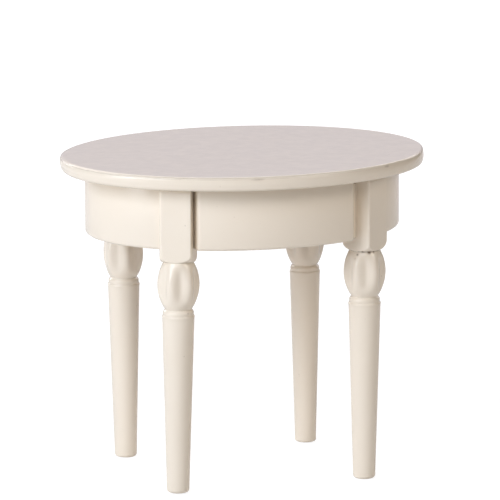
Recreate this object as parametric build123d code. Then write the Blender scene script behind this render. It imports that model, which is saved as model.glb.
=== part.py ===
from build123d import *
import os
from math import atan2, cos, degrees, radians, sin

# Miniature dining table for a dolls' house.
# An oval board lies on an oval apron of four curved rails. Four legs stand in the apron: each has
# a square block at the top, turned so that it faces straight out of the oval, then a fluted bulb,
# a cut neck with a bead, and a tapered round shaft. Corner blocks and screws are inside the apron.
#
# Millimetres. +Z is up, +X runs along the long axis of the top, -Y is the front, and the origin
# is on the floor below the centre of the top.

# ---- Top ----
TOP_LENGTH = 126.0
TOP_WIDTH = 101.0
TOP_THICKNESS = 4.8
TOP_EDGE_BULGE = 0.25  # how far the middle of the edge stands out
TOP_UPPER_ROUND = 0.8
TOP_LOWER_ROUND = 1.0
TOP_EDGE_REACH = 20.0  # how far in from the edge the swept border goes
TABLE_HEIGHT = 110.0
UNDERSIDE = TABLE_HEIGHT - TOP_THICKNESS

# ---- Apron ----
APRON_LENGTH = 109.0
APRON_WIDTH = 85.8
APRON_HEIGHT = 21.45
APRON_BOTTOM = UNDERSIDE - APRON_HEIGHT
RAIL_THICKNESS = 4.4
RAIL_EDGE_ROUND = 1.1
# The front and back rails are sawn off square this far from the middle. Their inner corners reach
# the leg blocks, and outside an open wedge is left.
SQUARE_ENDS = {"front_left": 28.4, "front_right": 27.0, "back_left": 27.4, "back_right": 27.9}

# ---- Tongues on the rails, in mortises in the leg blocks ----
TONGUE_DEPTH = 2.6  # how far it goes into the block
TONGUE_ROOT = 5.0  # how far it reaches back into the rail
TONGUE_INNER = -0.4  # its two faces, measured outwards from the leg's axis
TONGUE_OUTER = 1.3
TONGUE_SETBACK = 2.5  # from the rail's top; at the bottom the tongue ends with the rail

# ---- Legs ----
LEG_X = 33.2
LEG_Y = 29.5
BLOCK_SIDE = 11.0
BLOCK_EDGE_ROUND = 0.6
POMMEL_TOP = 82.4  # the block's corners start to curve in here
BLOCK_END = 79.2  # V cut between block and bulb
BLOCK_END_RADIUS = 5.15
BULB_WIDEST = 71.9
BULB_RADIUS = 7.12
NECK = 63.2  # V cut between bulb and bead
NECK_RADIUS = 4.6
BEAD_BOTTOM = 61.45
BEAD_RADIUS = 5.25
SHAFT_TOP = 60.3
SHAFT_TOP_RADIUS = 5.42
SHAFT_MIDDLE = 27.2
SHAFT_MIDDLE_RADIUS = 4.5
FOOT_RADIUS = 3.79
FOOT_ROUND = 1.1
FLUTE_COUNT = 6
FLUTE_FLOOR_RADIUS = 5.45  # from the leg's axis to the bottom of a flute
FLUTE_SECTION_RADIUS = 5.0

# Side of the table in X and in Y, angle of the block's outer face from the short axis, and angle
# of the first flute from that face. The blocks were set by hand, so the angles differ a little.
LEGS = {
    "front_left": (-1, -1, 31.0, 20.0),
    "front_right": (1, -1, 36.0, 9.0),
    "back_left": (-1, 1, 34.0, -11.0),
    "back_right": (1, 1, 34.0, 26.0),
}

# ---- Corner blocks, notched over the legs and sawn to the curve of the rails ----
CORNER_SPAN = 30.0
CORNER_DEPTH = 6.0  # behind the leg
CORNER_HEIGHT = 12.0
CORNER_BOTTOM = UNDERSIDE - CORNER_HEIGHT
GLUE_LINE = 0.1  # space between a corner block and the curved rails

# ---- Screws ----
SCREW_RADIUS = 0.9
SCREW_CLEARANCE = 0.05
SCREW_HEAD_RADIUS = 1.8
SCREW_HEAD_HEIGHT = 1.1
SCREW_POINT = 1.4
SCREW_RECESS_WIDTH = 0.4
SCREW_RECESS_SPAN = 1.9
SCREW_RECESS_DEPTH = 0.6
LEG_SCREW_LENGTH = 10.5
LEG_SCREW_HEIGHT = 99.0
TOP_SCREW_LENGTH = 15.0
TOP_SCREW_SPREAD = 10.0  # to each side of the leg
TOP_SCREW_BACK = 7.5  # behind the leg's axis

FAR = 400.0  # larger than the table, for cutting with a flat side


def oval(length, width, bottom, height):
    """An upright oval prism."""
    return Pos(0, 0, bottom) * extrude(Ellipse(length / 2, width / 2), height)


def block_frame(leg):
    """A leg's own frame: origin on its axis at the floor, +X straight out of its outer face."""
    side_x, side_y, turn, _ = LEGS[leg]
    outward = degrees(atan2(side_y * cos(radians(turn)), side_x * sin(radians(turn))))
    return Pos(side_x * LEG_X, side_y * LEG_Y, 0) * Rot(0, 0, outward)


def tongue(leg, hand):
    """A rail's tongue at one leg. hand is the side of the block it enters: +1 or -1 in its frame."""
    span = TONGUE_DEPTH + TONGUE_ROOT
    middle = BLOCK_SIDE / 2 - TONGUE_DEPTH + span / 2
    tongue_height = APRON_HEIGHT - TONGUE_SETBACK
    bar = Box(TONGUE_OUTER - TONGUE_INNER, span, tongue_height)
    height = APRON_BOTTOM + tongue_height / 2
    return block_frame(leg) * Pos((TONGUE_OUTER + TONGUE_INNER) / 2, hand * middle, height) * bar


def apron_ring():
    """The whole oval apron, before it is divided at the legs."""
    outside = oval(APRON_LENGTH, APRON_WIDTH, APRON_BOTTOM, APRON_HEIGHT)
    outside = fillet(outside.edges().group_by(Axis.Z)[0], RAIL_EDGE_ROUND)
    inner_length = APRON_LENGTH - 2 * RAIL_THICKNESS
    inner_width = APRON_WIDTH - 2 * RAIL_THICKNESS
    return outside - oval(inner_length, inner_width, APRON_BOTTOM - 1, APRON_HEIGHT + 2)


def beside_block(leg, hand):
    """Everything on one side of a leg block, starting at that side's face."""
    offset = hand * (BLOCK_SIDE / 2 + FAR / 2)
    return block_frame(leg) * Pos(0, offset, 0) * Box(FAR, FAR, FAR)


def rail(first, first_hand, second, second_hand, square_ends):
    """The rail between two legs, the first one further left, with a tongue at both ends."""
    bar = apron_ring() & beside_block(first, first_hand) & beside_block(second, second_hand)
    if square_ends:
        left, right = SQUARE_ENDS[first], SQUARE_ENDS[second]
        bar = bar & Pos((right - left) / 2, 0, 0) * Box(left + right, FAR, FAR)
    return bar + tongue(first, first_hand) + tongue(second, second_hand)


def tabletop():
    """The oval board: a border with a rounded edge swept round the oval, and a flat middle."""
    edge = TOP_LENGTH / 2
    side = edge - TOP_EDGE_BULGE
    inner = edge - TOP_EDGE_REACH
    low = UNDERSIDE + TOP_LOWER_ROUND
    high = TABLE_HEIGHT - TOP_UPPER_ROUND
    middle = (low + high) / 2
    cut = 1 - sin(radians(45))
    lower_middle = (side - TOP_LOWER_ROUND * cut, 0, UNDERSIDE + TOP_LOWER_ROUND * cut)
    upper_middle = (side - TOP_UPPER_ROUND * cut, 0, TABLE_HEIGHT - TOP_UPPER_ROUND * cut)
    section = [
        ThreePointArc((side - TOP_LOWER_ROUND, 0, UNDERSIDE), lower_middle, (side, 0, low)),
        ThreePointArc((side, 0, low), (edge, 0, middle), (side, 0, high)),
        ThreePointArc((side, 0, high), upper_middle, (side - TOP_UPPER_ROUND, 0, TABLE_HEIGHT)),
        Line((side - TOP_UPPER_ROUND, 0, TABLE_HEIGHT), (inner, 0, TABLE_HEIGHT)),
        Line((inner, 0, TABLE_HEIGHT), (inner, 0, UNDERSIDE)),
        Line((inner, 0, UNDERSIDE), (side - TOP_LOWER_ROUND, 0, UNDERSIDE)),
    ]
    path = Pos(0, 0, middle) * Wire([Edge.make_ellipse(edge, TOP_WIDTH / 2)])
    border = sweep(make_face(section), path=path)
    flat = oval(TOP_LENGTH - TOP_EDGE_REACH, TOP_WIDTH - TOP_EDGE_REACH, UNDERSIDE, TOP_THICKNESS)
    return border + flat


def turned_outline():
    """Half section of the turned part of a leg, from the foot up to the block, in the XZ plane."""
    foot_side = (FOOT_RADIUS, 0, FOOT_ROUND)
    shaft_top = (SHAFT_TOP_RADIUS, 0, SHAFT_TOP)
    bead_bottom = (BEAD_RADIUS, 0, BEAD_BOTTOM)
    neck = (NECK_RADIUS, 0, NECK)
    block_end = (BLOCK_END_RADIUS, 0, BLOCK_END)
    foot_corner = (FOOT_RADIUS - FOOT_ROUND * (1 - sin(radians(45))), 0, FOOT_ROUND * (1 - sin(radians(45))))
    shaft_middle = (SHAFT_MIDDLE_RADIUS, 0, SHAFT_MIDDLE)
    shoulder = ((SHAFT_TOP_RADIUS + BEAD_RADIUS) / 2 + 0.08, 0, (SHAFT_TOP + BEAD_BOTTOM) / 2 + 0.1)
    bead_middle = ((BEAD_RADIUS + NECK_RADIUS) / 2 + 0.17, 0, (BEAD_BOTTOM + NECK) / 2 + 0.12)
    edges = [
        Line((0, 0, 0), (FOOT_RADIUS - FOOT_ROUND, 0, 0)),
        ThreePointArc((FOOT_RADIUS - FOOT_ROUND, 0, 0), foot_corner, foot_side),
        ThreePointArc(foot_side, shaft_middle, shaft_top),
        ThreePointArc(shaft_top, shoulder, bead_bottom),
        ThreePointArc(bead_bottom, bead_middle, neck),
        ThreePointArc(neck, (BULB_RADIUS, 0, BULB_WIDEST), block_end),
        Line(block_end, (0, 0, BLOCK_END)),
        Line((0, 0, BLOCK_END), (0, 0, 0)),
    ]
    return make_face(edges)


def flutes(first_angle):
    """Upright gouge cuts, evenly spaced round the bulb."""
    cutter_height = BLOCK_END - NECK - 1.0
    cutter = Pos(FLUTE_FLOOR_RADIUS + FLUTE_SECTION_RADIUS, 0, (BLOCK_END + NECK) / 2) * Cylinder(
        FLUTE_SECTION_RADIUS, cutter_height
    )
    step = 360 / FLUTE_COUNT
    return [Rot(0, 0, first_angle + step * number) * cutter for number in range(FLUTE_COUNT)]


def block():
    """The square block, with its lower corners turned to a curve."""
    height = UNDERSIDE - BLOCK_END
    square = Pos(0, 0, BLOCK_END + height / 2) * Box(BLOCK_SIDE, BLOCK_SIDE, height)
    square = fillet(square.edges().filter_by(Axis.Z), BLOCK_EDGE_ROUND)
    corner = BLOCK_SIDE * 0.7
    end = (BLOCK_END_RADIUS, 0, BLOCK_END)
    curve_middle = (BLOCK_END_RADIUS + 1.35, 0, BLOCK_END + 1.0)
    curve_top = (corner, 0, POMMEL_TOP)
    edges = [
        Line((0, 0, BLOCK_END), end),
        ThreePointArc(end, curve_middle, curve_top),
        Line(curve_top, (corner, 0, UNDERSIDE)),
        Line((corner, 0, UNDERSIDE), (0, 0, UNDERSIDE)),
        Line((0, 0, UNDERSIDE), (0, 0, BLOCK_END)),
    ]
    return square & revolve(make_face(edges), Axis.Z)


def leg_body(leg):
    flute_turn = LEGS[leg][3]
    turned = revolve(turned_outline(), Axis.Z)
    turned = turned - flutes(flute_turn)
    body = block_frame(leg) * (turned + block())
    return body - tongue(leg, 1) - tongue(leg, -1)


def corner_block(leg):
    """A block inside the apron: flat at the back, curved at the front, with a notch for the leg."""
    back = -BLOCK_SIDE / 2 - CORNER_DEPTH
    bar = Box(BLOCK_SIDE - back, CORNER_SPAN, CORNER_HEIGHT)
    notch = Pos(FAR / 2 - BLOCK_SIDE / 2, 0, 0) * Box(FAR, BLOCK_SIDE, FAR)
    middle = Pos((BLOCK_SIDE + back) / 2, 0, CORNER_BOTTOM + CORNER_HEIGHT / 2)
    placed = block_frame(leg) * middle * bar - block_frame(leg) * notch
    room = 2 * (RAIL_THICKNESS + GLUE_LINE)
    inside = oval(APRON_LENGTH - room, APRON_WIDTH - room, CORNER_BOTTOM - 1, CORNER_HEIGHT + 2)
    return placed & inside


def screw(length):
    """A countersunk cross-head screw, head at the origin, pointing along +Z."""
    head = Pos(0, 0, SCREW_HEAD_HEIGHT / 2) * Cone(SCREW_HEAD_RADIUS, SCREW_RADIUS, SCREW_HEAD_HEIGHT)
    shank_length = length - SCREW_HEAD_HEIGHT - SCREW_POINT
    shank = Pos(0, 0, SCREW_HEAD_HEIGHT + shank_length / 2) * Cylinder(SCREW_RADIUS, shank_length)
    point = Pos(0, 0, length - SCREW_POINT / 2) * Cone(SCREW_RADIUS, 0, SCREW_POINT)
    bar = Box(SCREW_RECESS_SPAN, SCREW_RECESS_WIDTH, 2 * SCREW_RECESS_DEPTH)
    return head + shank + point - bar - Rot(0, 0, 90) * bar


def screw_hole(length):
    """The hole that such a screw sits in, with a little room all round."""
    radius = SCREW_RADIUS + SCREW_CLEARANCE
    head_radius = SCREW_HEAD_RADIUS + SCREW_CLEARANCE
    sink = Pos(0, 0, SCREW_HEAD_HEIGHT / 2) * Cone(head_radius, radius, SCREW_HEAD_HEIGHT)
    return sink + Pos(0, 0, length / 2) * Cylinder(radius, length)


def leg_screw_place(leg):
    """At the back of the corner block, pointing out into the leg."""
    back = -BLOCK_SIDE / 2 - CORNER_DEPTH
    return block_frame(leg) * Pos(back, 0, LEG_SCREW_HEIGHT) * Rot(0, 90, 0)


def top_screw_place(leg, hand):
    """At the bottom of the corner block, pointing up into the board."""
    return block_frame(leg) * Pos(-TOP_SCREW_BACK, hand * TOP_SCREW_SPREAD, CORNER_BOTTOM)


def main():
    parts = {"tabletop": tabletop()}
    parts["front_rail"] = rail("front_left", 1, "front_right", -1, True)
    parts["back_rail"] = rail("back_left", -1, "back_right", 1, True)
    parts["left_rail"] = rail("front_left", -1, "back_left", 1, False)
    parts["right_rail"] = rail("front_right", 1, "back_right", -1, False)
    for leg in LEGS:
        leg_hole = leg_screw_place(leg) * screw_hole(LEG_SCREW_LENGTH)
        block_inside = corner_block(leg) - leg_hole
        for hand, side in ((-1, "a"), (1, "b")):
            place = top_screw_place(leg, hand)
            hole = place * screw_hole(TOP_SCREW_LENGTH)
            block_inside = block_inside - hole
            parts["tabletop"] = parts["tabletop"] - hole
            parts[f"top_screw_{leg}_{side}"] = place * screw(TOP_SCREW_LENGTH)
        parts[f"leg_{leg}"] = leg_body(leg) - leg_hole
        parts[f"corner_block_{leg}"] = block_inside
        parts[f"leg_screw_{leg}"] = leg_screw_place(leg) * screw(LEG_SCREW_LENGTH)

    os.makedirs("parts", exist_ok=True)
    for name, shape in parts.items():
        export_step(shape, f"parts/{name}.step")


main()
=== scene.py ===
import functools
import math

import bpy
import numpy as np
from mathutils import Matrix, Vector


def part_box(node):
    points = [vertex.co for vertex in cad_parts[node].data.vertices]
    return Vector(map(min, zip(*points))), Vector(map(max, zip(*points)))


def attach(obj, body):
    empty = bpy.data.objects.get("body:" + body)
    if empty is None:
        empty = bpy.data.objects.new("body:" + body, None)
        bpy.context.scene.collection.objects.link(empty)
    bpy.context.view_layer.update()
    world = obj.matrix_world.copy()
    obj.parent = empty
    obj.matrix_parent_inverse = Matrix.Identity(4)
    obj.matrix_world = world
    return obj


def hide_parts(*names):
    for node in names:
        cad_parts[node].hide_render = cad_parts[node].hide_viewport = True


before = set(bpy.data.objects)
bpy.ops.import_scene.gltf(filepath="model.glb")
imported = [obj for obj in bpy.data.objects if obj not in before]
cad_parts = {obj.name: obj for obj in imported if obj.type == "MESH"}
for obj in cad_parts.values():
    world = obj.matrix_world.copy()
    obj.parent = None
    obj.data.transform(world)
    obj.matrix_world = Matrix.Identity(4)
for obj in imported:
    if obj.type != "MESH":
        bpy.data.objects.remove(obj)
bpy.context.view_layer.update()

# Looks for the miniature dining table. The painted pieces are rebuilt from formulas with the soft,
# slightly uneven edges that thick paint leaves. The corner blocks and screws are the CAD's own.
# Lengths in this script are in millimetres unless a comment says otherwise; MM turns them into metres.

MM = 0.001


def box_mm(node):
    low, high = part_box(node)
    return np.array(low) / MM, np.array(high) / MM


TOP_LOW, TOP_HIGH = box_mm("tabletop")
HEIGHT = TOP_HIGH[2]
UNDERSIDE = TOP_LOW[2]
TOP_A = TOP_HIGH[0]
TOP_B = TOP_HIGH[1]
APRON_A = box_mm("right_rail")[1][0]
APRON_B = box_mm("back_rail")[1][1]
APRON_BOTTOM = box_mm("front_rail")[0][2]

CAMERA_AZIMUTH = -18.95  # degrees; minus is to the left of the table's front
CAMERA_ELEVATION = 10.98
CAMERA_ROLL = -0.19
CAMERA_DISTANCE = 2014.0
CAMERA_SENSOR = 36.0
CAMERA_LENS = 425.088
CAMERA_CLIP = (0.05, 50)  # metres
AIM_SHARE = 0.6  # of the height
AIM_SHIFT = (2.47, 9.52)  # to the right and up, in the camera's view


# ---------------------------------------------------------------- small helpers

def smooth_min(a, b, width):
    """The smaller of two lengths, blended over a width so that the join is rounded."""
    mix = np.clip(0.5 + 0.5 * (b - a) / width, 0, 1)
    return b * (1 - mix) + a * mix - width * mix * (1 - mix)


def arc_radius(z, low, middle, high):
    """Radius at height z of the circular arc through three (radius, height) points."""
    (r1, z1), (r2, z2), (r3, z3) = low, middle, high
    d = 2 * (r1 * (z2 - z3) + r2 * (z3 - z1) + r3 * (z1 - z2))
    s1, s2, s3 = r1 * r1 + z1 * z1, r2 * r2 + z2 * z2, r3 * r3 + z3 * z3
    centre_r = (s1 * (z2 - z3) + s2 * (z3 - z1) + s3 * (z1 - z2)) / d
    centre_z = (s1 * (r3 - r2) + s2 * (r1 - r3) + s3 * (r2 - r1)) / d
    size = math.hypot(r2 - centre_r, z2 - centre_z)
    side = 1 if r2 > centre_r else -1
    return centre_r + side * np.sqrt(np.maximum(size * size - (z - centre_z) ** 2, 0))


def mesh_from_rings(name, rings, material, shade_and_dirt=None):
    """A closed mesh through equal rings of points, closed at both ends by a fan round the ring's middle."""
    rings = np.asarray(rings, float)
    count, size = rings.shape[:2]
    points = rings.reshape(-1, 3)
    faces = []
    for row in range(count - 1):
        for i in range(size):
            j = (i + 1) % size
            faces.append((row * size + i, row * size + j, (row + 1) * size + j, (row + 1) * size + i))
    ends = np.array([rings[0].mean(0), rings[-1].mean(0)])
    first, last = len(points), len(points) + 1
    top = (count - 1) * size
    for i in range(size):
        j = (i + 1) % size
        faces.append((j, i, first))
        faces.append((top + i, top + j, last))
    return add_mesh(name, np.vstack([points, ends]), faces, material, shade_and_dirt)


def add_mesh(name, points_mm, faces, material, shade_and_dirt):
    """A mesh riding on the table. The last argument gives how far each point is darkened, from 0 to 1:
    painted shade in cuts and creases, and dirt.
    """
    mesh = bpy.data.meshes.new(name)
    mesh.from_pydata((np.asarray(points_mm) * MM).tolist(), [], faces)
    dirt = mesh.attributes.new("shade_and_dirt", "FLOAT", "POINT")
    shares = np.zeros(len(mesh.vertices)) if shade_and_dirt is None else shade_and_dirt(np.asarray(points_mm))
    dirt.data.foreach_set("value", np.clip(shares, 0, 1).astype(np.float32))
    mesh.polygons.foreach_set("use_smooth", [True] * len(mesh.polygons))
    mesh.materials.append(material)
    piece = bpy.data.objects.new(name, mesh)
    bpy.context.scene.collection.objects.link(piece)
    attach(piece, "root")
    return piece


# ---------------------------------------------------------------- materials

def new_material(name):
    material = bpy.data.materials.new(name)
    material.use_nodes = True
    tree = material.node_tree
    tree.nodes.clear()
    output = tree.nodes.new("ShaderNodeOutputMaterial")
    shader = tree.nodes.new("ShaderNodeBsdfPrincipled")
    tree.links.new(shader.outputs[0], output.inputs[0])
    return material, tree, shader


def noise(tree, vector, scale, detail=2.0, roughness=0.5):
    """A noise texture's value; scale counts its blotches per metre."""
    node = tree.nodes.new("ShaderNodeTexNoise")
    node.inputs["Scale"].default_value = scale
    node.inputs["Detail"].default_value = detail
    node.inputs["Roughness"].default_value = roughness
    tree.links.new(vector, node.inputs["Vector"])
    return node.outputs["Fac"]


def remap(tree, value, low, high, to_low, to_high):
    """A value's range low to high spread over another range, and held inside it."""
    node = tree.nodes.new("ShaderNodeMapRange")
    for index, number in enumerate((low, high, to_low, to_high)):
        node.inputs[index + 1].default_value = number
    tree.links.new(value, node.inputs[0])
    return node.outputs[0]


def tint(tree, share, below, above):
    """A colour mixed from two by a share; below may be another node's colour."""
    node = tree.nodes.new("ShaderNodeMix")
    node.data_type = "RGBA"
    tree.links.new(share, node.inputs[0])
    if isinstance(below, tuple):
        node.inputs[6].default_value = (*below, 1)
    else:
        tree.links.new(below, node.inputs[6])
    node.inputs[7].default_value = (*above, 1)
    return node.outputs[2]


def bump(tree, height, strength, distance, under=None):
    node = tree.nodes.new("ShaderNodeBump")
    node.inputs["Strength"].default_value = strength
    node.inputs["Distance"].default_value = distance
    tree.links.new(height, node.inputs["Height"])
    if under is not None:
        tree.links.new(under, node.inputs["Normal"])
    return node.outputs[0]


def stretched(tree, stretch):
    """The object's own coordinates, scaled along each axis."""
    place = tree.nodes.new("ShaderNodeTexCoord")
    node = tree.nodes.new("ShaderNodeMapping")
    node.inputs["Scale"].default_value = stretch
    tree.links.new(place.outputs["Object"], node.inputs["Vector"])
    return node.outputs[0]


PAINT_COLOUR = (0.86, 0.765, 0.635)
PAINT_WARM = (0.84, 0.74, 0.60)
PAINT_SPECK = (0.50, 0.42, 0.32)
# Dark brown that the paint turns toward where it is darkened: painted shade in cuts and creases, and dirt.
SHADE_AND_DIRT_COLOUR = (0.20, 0.13, 0.075)
PAINT_ROUGHNESS = (0.13, 0.21)
# Noise scales, in blotches per metre.
BLOTCH_SCALE = 70
SHEEN_SCALE = 240
STREAK_SCALE = 420
PEEL_SCALE = 520
SPECK_SCALE = 620


def painted_wood(name, grain):
    """Thick satin paint; grain is how the wood below stretches the faint streaks that show through."""
    material, tree, shader = new_material(name)
    even, along = stretched(tree, (1, 1, 1)), stretched(tree, grain)
    blotch = remap(tree, noise(tree, even, BLOTCH_SCALE, 3), 0.35, 0.75, 0, 0.3)
    colour = tint(tree, blotch, PAINT_COLOUR, PAINT_WARM)
    speck = remap(tree, noise(tree, even, SPECK_SCALE, 1), 0.785, 0.83, 0, 0.5)
    colour = tint(tree, speck, colour, PAINT_SPECK)
    # How far each point is darkened: painted shade in cuts and creases, and dirt.
    dirt = tree.nodes.new("ShaderNodeAttribute")
    dirt.attribute_name = "shade_and_dirt"
    colour = tint(tree, remap(tree, dirt.outputs["Fac"], 0.02, 0.9, 0, 0.9), colour, SHADE_AND_DIRT_COLOUR)
    tree.links.new(colour, shader.inputs["Base Color"])
    sheen = remap(tree, noise(tree, even, SHEEN_SCALE, 3), 0.3, 0.7, *PAINT_ROUGHNESS)
    tree.links.new(sheen, shader.inputs["Roughness"])
    peel = bump(tree, noise(tree, even, PEEL_SCALE, 2), 0.12, 0.0002)
    streaks = bump(tree, noise(tree, along, STREAK_SCALE, 2), 0.035, 0.0003, peel)
    tree.links.new(streaks, shader.inputs["Normal"])
    return material


WOOD_LIGHT = (0.56, 0.37, 0.20)
WOOD_DARK = (0.36, 0.21, 0.10)
WOOD_GRAIN = (0.12, 1, 1)
WOOD_SCALE = 420
WOOD_ROUGHNESS = (0.62, 0.82)


def plain_wood():
    """Sawn softwood: grain lines along X, with a rough, open surface."""
    material, tree, shader = new_material("bare_wood")
    grain = noise(tree, stretched(tree, WOOD_GRAIN), WOOD_SCALE, 5, 0.65)
    colour = tint(tree, remap(tree, grain, 0.35, 0.65, 0, 1), WOOD_LIGHT, WOOD_DARK)
    tree.links.new(colour, shader.inputs["Base Color"])
    tree.links.new(remap(tree, grain, 0.3, 0.7, *WOOD_ROUGHNESS), shader.inputs["Roughness"])
    tree.links.new(bump(tree, grain, 0.4, 0.0003), shader.inputs["Normal"])
    return material


ZINC_LIGHT = (0.62, 0.62, 0.60)
ZINC_DARK = (0.40, 0.39, 0.36)
ZINC_SCALE = 900
ZINC_ROUGHNESS = (0.25, 0.5)


def screw_steel():
    """Zinc plate, slightly mottled."""
    material, tree, shader = new_material("screw_steel")
    mottle = noise(tree, stretched(tree, (1, 1, 1)), ZINC_SCALE, 3)
    tree.links.new(tint(tree, mottle, ZINC_LIGHT, ZINC_DARK), shader.inputs["Base Color"])
    shader.inputs["Metallic"].default_value = 1
    tree.links.new(remap(tree, mottle, 0.3, 0.7, *ZINC_ROUGHNESS), shader.inputs["Roughness"])
    tree.links.new(bump(tree, mottle, 0.15, 0.0001), shader.inputs["Normal"])
    return material


def floor_material(name, shade, glow):
    """Matt white or grey that reflects a share of the light and glows by itself."""
    material, tree, shader = new_material(name)
    shader.inputs["Base Color"].default_value = (shade, shade, shade, 1)
    shader.inputs["Roughness"].default_value = 1
    shader.inputs["Specular IOR Level"].default_value = 0
    shader.inputs["Emission Color"].default_value = (1, 1, 1, 1)
    shader.inputs["Emission Strength"].default_value = glow
    return material


# ---------------------------------------------------------------- top

EDGE_BULGE = 0.25  # how far the middle of the edge stands out
# The edge was sanded by hand. At the left end the rounding is wide and meets the side in a crease, at
# the right end it is small and runs out into the side. Each pair is for the left and the right end.
UPPER_ROUND = (3.0, 0.7)
UPPER_START = (62, 0)  # degrees; where on the rounding the side begins
LOWER_ROUND = (1.7, 0.8)
RIM_LINE_WIDTH = 0.14  # a fine groove just below the crease
RIM_LINE_DEPTH = (0.09, 0.0)
CREASE_DROP = (0.35, 0.7)  # of the line of painted shade, partly dirt, below the top
CREASE_WIDTH = 0.13
TOP_STEPS = 360
# Rings of the flat faces, as shares of the outline.
UNDERSIDE_RINGS = (0.12, 0.3, 0.5, 0.7, 0.85, 0.95, 0.99)
TOP_RINGS = (0.998, 0.99, 0.95, 0.85, 0.7, 0.5, 0.3, 0.12)


def oval_point(a, b, t, inset):
    """A point at angle t of an oval, moved inwards square to it."""
    normal = np.stack([np.cos(t) / a, np.sin(t) / b], -1)
    normal /= np.linalg.norm(normal, axis=-1, keepdims=True)
    inset = np.broadcast_to(inset, np.shape(t))[..., None]
    return np.stack([a * np.cos(t), b * np.sin(t)], -1) - inset * normal


def edge_profile(end):
    """Insets and heights of the board's edge, underside to top, at its left (0) or right (1) end."""
    lower, upper = LOWER_ROUND[end], UPPER_ROUND[end]
    start = math.radians(UPPER_START[end])
    rows = []
    for angle in np.radians(np.linspace(0, 90, 8)):
        rows.append((EDGE_BULGE + lower * (1 - math.sin(angle)), UNDERSIDE + lower * (1 - math.cos(angle))))
    low, high = UNDERSIDE + lower, HEIGHT - upper * (1 - math.sin(start))
    line = high - 1.5 * RIM_LINE_WIDTH
    heights = list(np.linspace(low, line - 1.5 * RIM_LINE_WIDTH, 9)[1:])
    heights += [line + RIM_LINE_WIDTH * share for share in (-1, -0.5, 0, 0.5, 1, 1.3)]
    for z in heights:
        share = (z - low) / (high - low)
        groove = max(0.0, 1 - abs(z - line) / RIM_LINE_WIDTH)
        rows.append((EDGE_BULGE * (2 * share - 1) ** 2 + RIM_LINE_DEPTH[end] * groove, z))
    for angle in np.linspace(start, math.pi / 2, 10):
        inset = EDGE_BULGE + upper * (math.cos(start) - math.cos(angle))
        rows.append((inset, HEIGHT - upper * (1 - math.sin(angle))))
    return np.array(rows)


def wander(values, rate, phase):
    """A smooth, uneven number between 0 and 1 for each value."""
    waves = np.sin(values * rate + phase)
    waves = waves + np.sin(values * rate * 2.3 + phase * 1.7)
    waves = waves + np.sin(values * rate * 5.1)
    return np.clip(0.5 + waves / 6, 0, 1)


# Scuffs on the rim: angle and span in degrees, height, and how dirty each is.
SCUFFS = (
    (-100.5, 3.4, 109.2, 0.28),
    (-53.2, 2.0, 109.2, 0.35),
)
SCUFF_HALF_HEIGHT = 0.35


def board_shade_and_dirt(points):
    """Painted shade in the crease round the left of the rim, partly dirt, and dirty scuffs on it."""
    t = np.arctan2(points[:, 1] / TOP_B, points[:, 0] / TOP_A)
    z = points[:, 2]
    rim = np.hypot(points[:, 0] / TOP_A, points[:, 1] / TOP_B) > 0.9
    side = 0.5 + 0.5 * np.cos(t)
    line = HEIGHT - CREASE_DROP[0] * (1 - side) - CREASE_DROP[1] * side - 1.5 * RIM_LINE_WIDTH
    uneven = 0.08 + 0.3 * wander(t, 19, 1.3)
    crease = np.exp(-(((z - line) / CREASE_WIDTH) ** 2)) * (1 - side) * uneven
    total = np.where(rim, crease, 0)
    for angle, span, height, dirt in SCUFFS:
        across = ((np.degrees(t) - angle) / (span / 2)) ** 4
        near = np.exp(-across - ((z - height) / SCUFF_HALF_HEIGHT) ** 2)
        total = total + np.where(rim, dirt * near, 0)
    return total


def top_board(paint):
    t = np.linspace(0, 2 * math.pi, TOP_STEPS, endpoint=False)
    left, right = edge_profile(0), edge_profile(1)
    side = (0.5 + 0.5 * np.cos(t))[:, None]
    profile = left[:, None] * (1 - side) + right[:, None] * side
    rings = [(share, profile[0]) for share in UNDERSIDE_RINGS]
    rings += [(1, row) for row in profile]
    rings += [(share, profile[-1]) for share in TOP_RINGS]
    points = []
    for share, row in rings:
        outline = oval_point(TOP_A, TOP_B, t, row[:, 0]) * share
        points.append(np.column_stack([outline, row[:, 1]]))
    board = mesh_from_rings("tabletop_painted", points, paint, board_shade_and_dirt)
    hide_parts("tabletop")


# ---------------------------------------------------------------- legs

# Pairs of numbers are (radius, height). A bulge moves an arc's middle off its chord's, unless noted.
LEG_STEPS = 192
CORNER_CROWDING = 0.6  # how much closer together the points are at the block's corners
BLOCK_HALF = 5.5
POMMEL_TOP = 82.0
BLOCK_END = 79.2
BLOCK_END_RADIUS = 5.1
BLOCK_SOFTNESS = 0.25
POMMEL_BULGE = (1.45, 0.75)  # from the end of the block
POMMEL_REACH = 1.4  # of the block's half width
BEYOND = 99.0  # wider than any leg
BULB_WIDEST = (7.12, 71.9)
NECK = (4.42, 63.2)
BEAD_BOTTOM = (5.08, 61.4)
BEAD_BULGE = (0.38, 0.12)
SHAFT_TOP = (5.42, 60.3)
SHOULDER_BULGE = (0.2, 0.1)
SHAFT_MIDDLE = (4.5, 27.2)
FOOT_RADIUS = 3.79
FOOT_ROUND = 1.1
FLUTE_COUNT = 6
FLUTE_FLOOR = 5.7
FLUTE_SOFTNESS = 0.4
PAINT_SOFTNESS = 0.09  # how far thick paint rounds off a cut

# Angle of the block's outer face from the table's short axis, and of the first flute from that face.
LEGS = {
    "front_left": (31.0, 20.0),
    "front_right": (36.0, 9.0),
    "back_left": (34.0, -11.0),
    "back_right": (34.0, 26.0),
}
# Rounding of each block's four upright edges, counter-clockwise from the outer face.
BLOCK_ROUNDS = {
    "front_left": (0.35, 1.6, 0.6, 1.3),
    "front_right": (0.35, 0.6, 0.6, 0.7),
    "back_left": (0.6, 0.6, 0.6, 0.6),
    "back_right": (0.6, 0.6, 0.6, 0.6),
}
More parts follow.
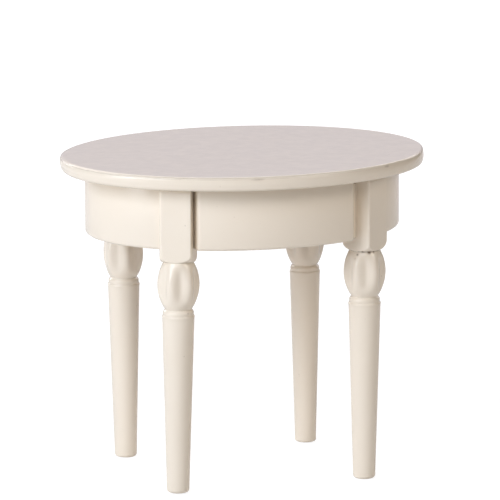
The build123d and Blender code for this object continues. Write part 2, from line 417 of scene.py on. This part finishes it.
# Each leg leans a little: how far it stands along the table at the block and at the foot.
LEANS = {
    "front_left": (0.42, -0.15),
    "front_right": (0.28, 0.12),
    "back_left": (-0.12, 0.32),
    "back_right": (-0.35, -0.15),
}
# The legs are not quite equal: how far each foot ends above the floor.
FOOT_LIFTS = {"front_left": 0.4, "front_right": 0.1, "back_left": 0.0, "back_right": 0.25}
# How far the V cut below the block rises on the camera's side, and how far up and down that reaches.
V_TILTS = {"front_left": 0.55, "front_right": 0.0, "back_left": 0.0, "back_right": 0.0}
V_TILT_REACH = 4.0
# Thickness of the turned part, as a share of its full size.
SLIMNESS = {"front_left": 1.0, "front_right": 1.0, "back_left": 1.0, "back_right": 0.965}


@functools.cache
def leg_place(leg):
    """The leg's axis in X and Y, and the direction its outer face looks in."""
    low, high = box_mm(f"leg_{leg}")
    axis = (low[:2] + high[:2]) / 2 + np.array([LEANS[leg][0], 0.0])
    turn = math.radians(LEGS[leg][0])
    side = np.sign(axis)
    outward = math.atan2(side[1] * math.cos(turn), side[0] * math.sin(turn))
    return axis, outward


def square_radius(theta, rounds):
    """Radius of the square block, with its four corners rounded."""
    corner = np.array(rounds)[(theta // (math.pi / 2)).astype(int) % 4]
    near = np.maximum(np.abs(np.cos(theta)), np.abs(np.sin(theta)))
    far = np.minimum(np.abs(np.cos(theta)), np.abs(np.sin(theta)))
    flat = BLOCK_HALF / near
    centre = BLOCK_HALF - corner
    along = centre * (near + far)
    off = 2 * centre**2 - along**2
    round_part = along + np.sqrt(np.maximum(corner**2 - off, 0))
    return np.where(flat * far > centre, round_part, flat)


def between(low, high, bulge):
    """The point halfway between two (radius, height) points, moved out by a bulge."""
    return (low[0] + high[0]) / 2 + bulge[0], (low[1] + high[1]) / 2 + bulge[1]


def leg_radius(theta, z, leg):
    """Radius of a leg at an angle from its outer face and a height."""
    flute_turn, slimness = LEGS[leg][1], SLIMNESS[leg]
    toward = np.cos(theta + leg_place(leg)[1] - math.radians(CAMERA_AZIMUTH - 90))
    z = z - V_TILTS[leg] * np.maximum(toward, 0) * np.exp(-(((z - BLOCK_END) / V_TILT_REACH) ** 2))
    square = square_radius(theta, BLOCK_ROUNDS[leg])
    end = (BLOCK_END_RADIUS, BLOCK_END)
    pommel_middle = (BLOCK_END_RADIUS + POMMEL_BULGE[0], BLOCK_END + POMMEL_BULGE[1])
    pommel = arc_radius(z, end, pommel_middle, (BLOCK_HALF * POMMEL_REACH, POMMEL_TOP))
    pommel = np.where(z > POMMEL_TOP, BEYOND, pommel)
    block = smooth_min(square, pommel, BLOCK_SOFTNESS)

    bulb = arc_radius(z, NECK, BULB_WIDEST, end)
    depth = -smooth_min(FLUTE_FLOOR - bulb, 0.0, FLUTE_SOFTNESS)
    wave = 0.5 + 0.5 * np.cos(FLUTE_COUNT * (theta - math.radians(flute_turn)))
    bulb = bulb - depth * wave

    bead = arc_radius(z, BEAD_BOTTOM, between(BEAD_BOTTOM, NECK, BEAD_BULGE), NECK)
    shoulder = arc_radius(z, SHAFT_TOP, between(SHAFT_TOP, BEAD_BOTTOM, SHOULDER_BULGE), BEAD_BOTTOM)
    shaft = arc_radius(z, (FOOT_RADIUS, FOOT_ROUND), SHAFT_MIDDLE, SHAFT_TOP)
    turned = np.where(z < NECK[1], bead, bulb)
    turned = np.where(z < BEAD_BOTTOM[1], shoulder, turned)
    turned = np.where(z < SHAFT_TOP[1], shaft, turned)
    return np.where(z > BLOCK_END, block, turned * slimness)


def softened_radius(theta, z, leg):
    """The leg's radius averaged over a short stretch of height, as paint fills the cuts."""
    total, weight = 0.0, 0.0
    for offset in np.linspace(-2, 2, 9):
        share = math.exp(-offset * offset / 2)
        height = np.minimum(np.maximum(z + offset * PAINT_SOFTNESS / 1.5, FOOT_ROUND), UNDERSIDE)
        total = total + share * leg_radius(theta, height, leg)
        weight += share
    return total / weight


# Small flaws where the paint missed or chipped: angle from the camera's side, height, size, and how dirty.
FLAWS = {
    "front_right": (
        (16, 79.0, 0.55, 1.0),
        (-8, 79.3, 0.35, 0.8),
        (-27, 78.2, 0.30, 0.8),
        (-33, 76.9, 0.25, 0.4),
        (34, 78.9, 0.30, 0.6),
        (20, 57.6, 0.22, 0.5),
    ),
    "front_left": ((38, 62.3, 0.25, 0.4),),
    "back_left": ((26, 44.0, 0.25, 0.5),),
    "back_right": ((14, 47.5, 0.25, 0.5),),
}
# Painted shade, partly dirt and cracks, in the V cut below the block, in the neck and in the cut below the
# bead, and each line's width.
CUT_SHADE_AND_CRACKS = {"front_left": 0.15, "front_right": 0.9, "back_left": 0.25, "back_right": 0.25}
CUT_LINE_WIDTH = 0.16
NECK_SHADE_AND_DIRT, NECK_LINE_WIDTH = 0.18, 0.14
BEAD_SHADE_AND_DIRT, BEAD_LINE_WIDTH = 0.12, 0.12
FLAW_DENT = 0.12


def flaw_share(leg, theta, z):
    """How far each point of a leg lies in one of its flaws, from 0 to 1."""
    outward = leg_place(leg)[1]
    total = np.zeros(np.broadcast(theta, z).shape)
    for angle, height, size, dirt in FLAWS[leg]:
        centre = math.radians(angle + CAMERA_AZIMUTH - 90) - outward
        off = (theta - centre + math.pi) % (2 * math.pi) - math.pi
        total = total + dirt * np.exp(-((off * BLOCK_END_RADIUS / size) ** 2) - ((z - height) / size) ** 2)
    return total


def leg_shade_and_dirt(leg):
    """Painted shade, partly dirt, in a leg's cuts, and dirt in its flaws, as a function of its points."""
    axis, outward = leg_place(leg)

    def shade_and_dirt(points):
        z = points[:, 2]
        theta = np.arctan2(points[:, 1] - axis[1], points[:, 0] - axis[0]) - outward
        toward = np.cos(theta + outward - math.radians(CAMERA_AZIMUTH - 90))
        uneven = wander(theta, 6, 0.4 + axis[0])
        cut = np.exp(-(((z - BLOCK_END) / CUT_LINE_WIDTH) ** 2)) * CUT_SHADE_AND_CRACKS[leg] * uneven
        cut = cut * np.clip(toward * 2, 0, 1)
        neck = np.exp(-(((z - NECK[1]) / NECK_LINE_WIDTH) ** 2)) * NECK_SHADE_AND_DIRT * uneven
        ring = np.exp(-(((z - BEAD_BOTTOM[1]) / BEAD_LINE_WIDTH) ** 2)) * BEAD_SHADE_AND_DIRT * uneven
        return cut + neck + ring + flaw_share(leg, theta, z)

    return shade_and_dirt


def leg_levels():
    """Heights of a leg's rings: close together where it is shaped."""
    spans = [
        (FOOT_ROUND, SHAFT_TOP[1] - 1.5, 34),
        (SHAFT_TOP[1] - 1.5, NECK[1] + 1.2, 30),
        (NECK[1] + 1.2, BLOCK_END - 1.2, 44),
        (BLOCK_END - 1.2, POMMEL_TOP + 0.6, 40),
        (POMMEL_TOP + 0.6, UNDERSIDE, 10),
    ]
    return np.concatenate([np.linspace(a, b, n, endpoint=False) for a, b, n in spans] + [[UNDERSIDE]])


def leg_piece(leg, paint):
    axis, outward = leg_place(leg)
    even = np.linspace(0, 2 * math.pi, LEG_STEPS, endpoint=False)
    theta = (even + CORNER_CROWDING / 4 * np.sin(4 * even)) % (2 * math.pi)
    rings = [(np.full(LEG_STEPS, (FOOT_RADIUS - FOOT_ROUND) * share), 0.0) for share in (0.35, 0.7)]
    for angle in np.radians([0, 15, 30, 45, 60, 75]):
        radius = FOOT_RADIUS - FOOT_ROUND * (1 - math.sin(angle))
        rings.append((np.full(LEG_STEPS, radius), FOOT_ROUND * (1 - math.cos(angle))))
    for z in leg_levels():
        rings.append((softened_radius(theta, z, leg) - FLAW_DENT * flaw_share(leg, theta, z), z))
    points = []
    for radius, z in rings:
        lean = (LEANS[leg][1] - LEANS[leg][0]) * max(0.0, 1 - z / BLOCK_END)
        x = axis[0] + lean + radius * np.cos(theta + outward)
        y = axis[1] + radius * np.sin(theta + outward)
        lifted = z + FOOT_LIFTS[leg] * max(0.0, 1 - z / SHAFT_TOP[1])
        points.append(np.column_stack([x, y, np.full(LEG_STEPS, lifted)]))
    piece = mesh_from_rings(f"leg_{leg}_painted", points, paint, leg_shade_and_dirt(leg))
    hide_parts(f"leg_{leg}")


# ---------------------------------------------------------------- rails

RAIL_THICKNESS = 4.4
RAIL_ROUND = 1.1
SQUARE_END_ROUND = (1.1, 0.9)  # of the front and back rails' sawn ends: along the rail and into it
BUTT_END_ROUND = (0.15, 0.15)  # of the side rails' ends, against the blocks
SQUARE_ENDS = {"front_left": 28.4, "front_right": 27.0, "back_left": 27.4, "back_right": 27.9}
TONGUE_INNER, TONGUE_OUTER = -0.4, 0.3  # its two faces, outwards from the leg's axis
TONGUE_LENGTH = 5.0
TONGUE_RISE = 0.15  # of its lower edge above the rail's
TONGUE_SETBACK = 2.5  # of its upper edge below the board
TONGUE_ROUND = 0.2
END_HALVINGS = 40


def plane_at_block(leg, hand):
    """A point and direction of the plane on one side of a leg block; the direction points to the rail."""
    axis, outward = leg_place(leg)
    across = np.array([-math.sin(outward), math.cos(outward)]) * hand
    return axis + across * BLOCK_HALF, across


def find_end(plane, inside, outside, inset):
    """The oval's angle at which a line at that inset crosses the plane, between two angles."""
    point, direction = plane
    for _ in range(END_HALVINGS):
        middle = (inside + outside) / 2
        if (oval_point(APRON_A, APRON_B, np.array(middle), inset) - point) @ direction > 0:
            inside = middle
        else:
            outside = middle
    return middle


def rail_section(shrink, steps=5):
    """Insets and heights round the rail's section. shrink comes off the outer face, half of it elsewhere."""
    corner = max(RAIL_ROUND - shrink / 2, 0.05)
    low, high = APRON_BOTTOM + shrink / 2, UNDERSIDE - shrink / 2
    near, far = shrink, RAIL_THICKNESS - shrink / 2
    corners = [
        (near + corner, low + corner, 180, 270),
        (far - corner, low + corner, 270, 360),
        (far - corner, high - corner, 0, 90),
        (near + corner, high - corner, 90, 180),
    ]
    points = []
    for inset, z, start, stop in corners:
        for angle in np.radians(np.linspace(start, stop, steps)):
            points.append((inset + corner * math.cos(angle), z + corner * math.sin(angle)))
    return points


def rail_piece(name, span, planes, end_round, paint, stations=56):
    """A curved rail between two planes. span is two angles of the oval, in degrees, beyond its two ends."""
    start, stop = math.radians(span[0]), math.radians(span[1])
    middle = (start + stop) / 2
    ends = {}

    def limits(inset):
        key = round(inset, 3)
        if key not in ends:
            ends[key] = (
                find_end(planes[0], middle, start, inset),
                find_end(planes[1], middle, stop, inset),
            )
        return ends[key]

    def speed(t):
        return math.hypot(APRON_A * math.sin(t), APRON_B * math.cos(t))

    along = []
    for angle in np.radians([15, 30, 45, 60, 75, 90]):
        along.append((end_round[1] * (1 - math.cos(angle)), end_round[0] * (1 - math.sin(angle))))
    ring_specs = [("start", distance, shrink) for shrink, distance in reversed(along)]
    ring_specs += [("middle", share, 0.0) for share in np.linspace(0, 1, stations)]
    ring_specs += [("stop", distance, shrink) for shrink, distance in along]
    rings = []
    for kind, value, shrink in ring_specs:
        ring = []
        for inset, z in rail_section(shrink):
            first, last = limits(inset)
            first_in = first + math.copysign(end_round[0] / speed(first), last - first)
            last_in = last - math.copysign(end_round[0] / speed(last), last - first)
            if kind == "start":
                t = first + math.copysign(value / speed(first), last - first)
            elif kind == "stop":
                t = last - math.copysign(value / speed(last), last - first)
            else:
                t = first_in + value * (last_in - first_in)
            x, y = oval_point(APRON_A, APRON_B, np.array(t), inset)
            ring.append((x, y, z))
        rings.append(ring)
    piece = mesh_from_rings(f"{name}_painted", rings, paint)
    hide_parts(name)


def tongue_piece(rail, leg, hand, paint):
    """The part of a rail's tongue that shows in the open wedge beside the block."""
    axis, outward = leg_place(leg)
    out = np.array([math.cos(outward), math.sin(outward)])
    across = np.array([-out[1], out[0]]) * hand
    low, high = APRON_BOTTOM + TONGUE_RISE, UNDERSIDE - TONGUE_SETBACK
    levels = ((low, TONGUE_ROUND), (low + TONGUE_ROUND, 0), (high - TONGUE_ROUND, 0), (high, TONGUE_ROUND))
    rings = []
    for z, shrink in levels:
        ring = []
        for n, a in ((-1, -1), (1, -1), (1, 1), (-1, 1)):
            depth = (TONGUE_INNER + TONGUE_OUTER) / 2 + n * ((TONGUE_OUTER - TONGUE_INNER) / 2 - shrink)
            reach = BLOCK_HALF + TONGUE_LENGTH / 2 + a * (TONGUE_LENGTH / 2 - shrink)
            point = axis + out * depth + across * reach
            ring.append((point[0], point[1], z))
        rings.append(ring)
    piece = mesh_from_rings(f"{rail}_tongue_{leg}", rings, paint)
    for polygon in piece.data.polygons:
        polygon.use_smooth = False


def square_end(leg):
    """The saw cut at the end of the front or back rail beside a leg."""
    side = -1 if leg.endswith("left") else 1
    return np.array([side * SQUARE_ENDS[leg], 0.0]), np.array([-side, 0.0])


def rails(paint):
    front_ends = (square_end("front_left"), square_end("front_right"))
    back_ends = (square_end("back_right"), square_end("back_left"))
    left_ends = (plane_at_block("back_left", 1), plane_at_block("front_left", -1))
    right_ends = (plane_at_block("front_right", 1), plane_at_block("back_right", -1))
    rail_piece("front_rail", (190, 350), front_ends, SQUARE_END_ROUND, paint)
    rail_piece("back_rail", (10, 170), back_ends, SQUARE_END_ROUND, paint)
    rail_piece("left_rail", (110, 250), left_ends, BUTT_END_ROUND, paint)
    rail_piece("right_rail", (-70, 70), right_ends, BUTT_END_ROUND, paint)
    for rail, leg, hand in (
        ("front_rail", "front_left", 1),
        ("front_rail", "front_right", -1),
        ("back_rail", "back_left", -1),
        ("back_rail", "back_right", 1),
    ):
        tongue_piece(rail, leg, hand, paint)


# ---------------------------------------------------------------- stage, light and camera

def direction_from_table(azimuth, elevation):
    """From the table towards a place; the azimuth counts from the camera's, plus to its right."""
    a, e = math.radians(CAMERA_AZIMUTH + azimuth), math.radians(elevation)
    return Vector((math.sin(a) * math.cos(e), -math.cos(a) * math.cos(e), math.sin(e)))


def place_camera():
    data = bpy.data.cameras.new("camera")
    data.lens = CAMERA_LENS
    data.sensor_width = CAMERA_SENSOR
    data.clip_start, data.clip_end = CAMERA_CLIP
    camera = bpy.data.objects.new("camera", data)
    bpy.context.scene.collection.objects.link(camera)
    back = direction_from_table(0, CAMERA_ELEVATION)
    right = Vector((0, 0, 1)).cross(back).normalized()
    up = back.cross(right)
    roll = math.radians(CAMERA_ROLL)
    turned_right = right * math.cos(roll) + up * math.sin(roll)
    turned_up = up * math.cos(roll) - right * math.sin(roll)
    aim = Vector((0, 0, HEIGHT * AIM_SHARE))
    place = aim + back * CAMERA_DISTANCE + turned_right * AIM_SHIFT[0] + turned_up * AIM_SHIFT[1]
    camera.matrix_world = Matrix.Translation(place * MM) @ Matrix(
        (turned_right, turned_up, back)
    ).transposed().to_4x4()
    bpy.context.scene.camera = camera


# Sizes in metres. Shade is the share of light given back, glow the light of its own.
FLOOR_HALF = 6.0
FLOOR_SEEN = {"height": 0, "shade": 0.3, "glow": 0.84}
FLOOR_BOUNCE = {"height": -0.0002, "shade": 0.85, "glow": 0.024}


def floor_plane(name, height, shade, glow):
    mesh = bpy.data.meshes.new(name)
    corners = [(-1, -1), (1, -1), (1, 1), (-1, 1)]
    mesh.from_pydata([(x * FLOOR_HALF, y * FLOOR_HALF, height) for x, y in corners], [], [(0, 1, 2, 3)])
    mesh.materials.append(floor_material(name, shade, glow))
    plane = bpy.data.objects.new(name, mesh)
    bpy.context.scene.collection.objects.link(plane)
    return plane


def floor():
    """A floor that only the camera sees, and one just under it that only gives the table bounced light."""
    seen = floor_plane("floor", **FLOOR_SEEN)
    seen.visible_diffuse = False
    seen.visible_glossy = False
    seen.visible_shadow = False
    bounce = floor_plane("floor_bounce", **FLOOR_BOUNCE)
    bounce.visible_camera = False


# Softboxes: azimuth from the camera's and elevation in degrees, width and height in metres, power in
# watts, colour. Places and sizes were chosen. Powers and colours are from a least-squares fit
# to the photograph, with the blues raised afterwards, so they belong to this view.
LIGHT_DISTANCE = 1.3
LIGHT_TARGET = (0, 0, 0.07)
LIGHTS = {
    "key": (-46, 27, 0.75, 0.75, 9.87, (0.94, 1.01, 1.13)),
    "key_low": (-62, 8, 0.4, 0.4, 2.49, (0.98, 1.01, 1.07)),
    "key_high": (-25, 42, 0.5, 0.4, 0.60, (1.00, 1.00, 1.06)),
    "front": (-6, 35, 0.5, 0.4, 2.04, (1.01, 1.00, 1.03)),
    "fill": (57, 34, 0.5, 0.5, 3.39, (1.10, 1.00, 0.88)),
    "back": (180, 38, 1.4, 0.7, 7.20, (1.06, 0.99, 0.98)),
    "back_low": (180, 13, 1.4, 0.4, 1.09, (0.98, 0.94, 1.14)),
    "back_left": (-140, 20, 0.5, 0.5, 2.95, (1.02, 1.01, 1.02)),
    "back_right": (142, 20, 0.5, 0.5, 1.42, (1.02, 1.00, 1.03)),
}


AMBIENT = 0.012


def softbox(name, azimuth, elevation, width, height, power, colour):
    data = bpy.data.lights.new(name, "AREA")
    data.shape = "RECTANGLE"
    data.size, data.size_y = width, height
    data.energy = power
    data.color = colour
    lamp = bpy.data.objects.new(name, data)
    bpy.context.scene.collection.objects.link(lamp)
    direction = direction_from_table(azimuth, elevation)
    lamp.location = Vector(LIGHT_TARGET) + direction * LIGHT_DISTANCE
    lamp.rotation_euler = (-direction).to_track_quat("-Z", "Y").to_euler()


def lights():
    for name, values in LIGHTS.items():
        softbox(name, *values)
    world = bpy.data.worlds.new("world")
    bpy.context.scene.world = world
    world.use_nodes = True
    background = world.node_tree.nodes["Background"]
    background.inputs["Color"].default_value = (1, 1, 1, 1)
    background.inputs["Strength"].default_value = AMBIENT
    bpy.context.scene.view_settings.view_transform = "Standard"


def dress_cad_nodes():
    """Better materials on the CAD's own corner blocks and screws."""
    wood, steel = plain_wood(), screw_steel()
    for name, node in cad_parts.items():
        material = steel if "screw" in name else wood
        if name.startswith(("corner_block", "leg_screw", "top_screw")):
            for material_slot in node.material_slots:
                material_slot.material = material


GRAIN_LENGTHWISE = (0.1, 1, 1)
GRAIN_UPRIGHT = (1, 1, 0.1)
top_board(painted_wood("painted_board", GRAIN_LENGTHWISE))
leg_paint = painted_wood("painted_legs", GRAIN_UPRIGHT)
for leg_name in LEGS:
    leg_piece(leg_name, leg_paint)
rails(painted_wood("painted_rails", GRAIN_LENGTHWISE))
dress_cad_nodes()
floor()
lights()
place_camera()
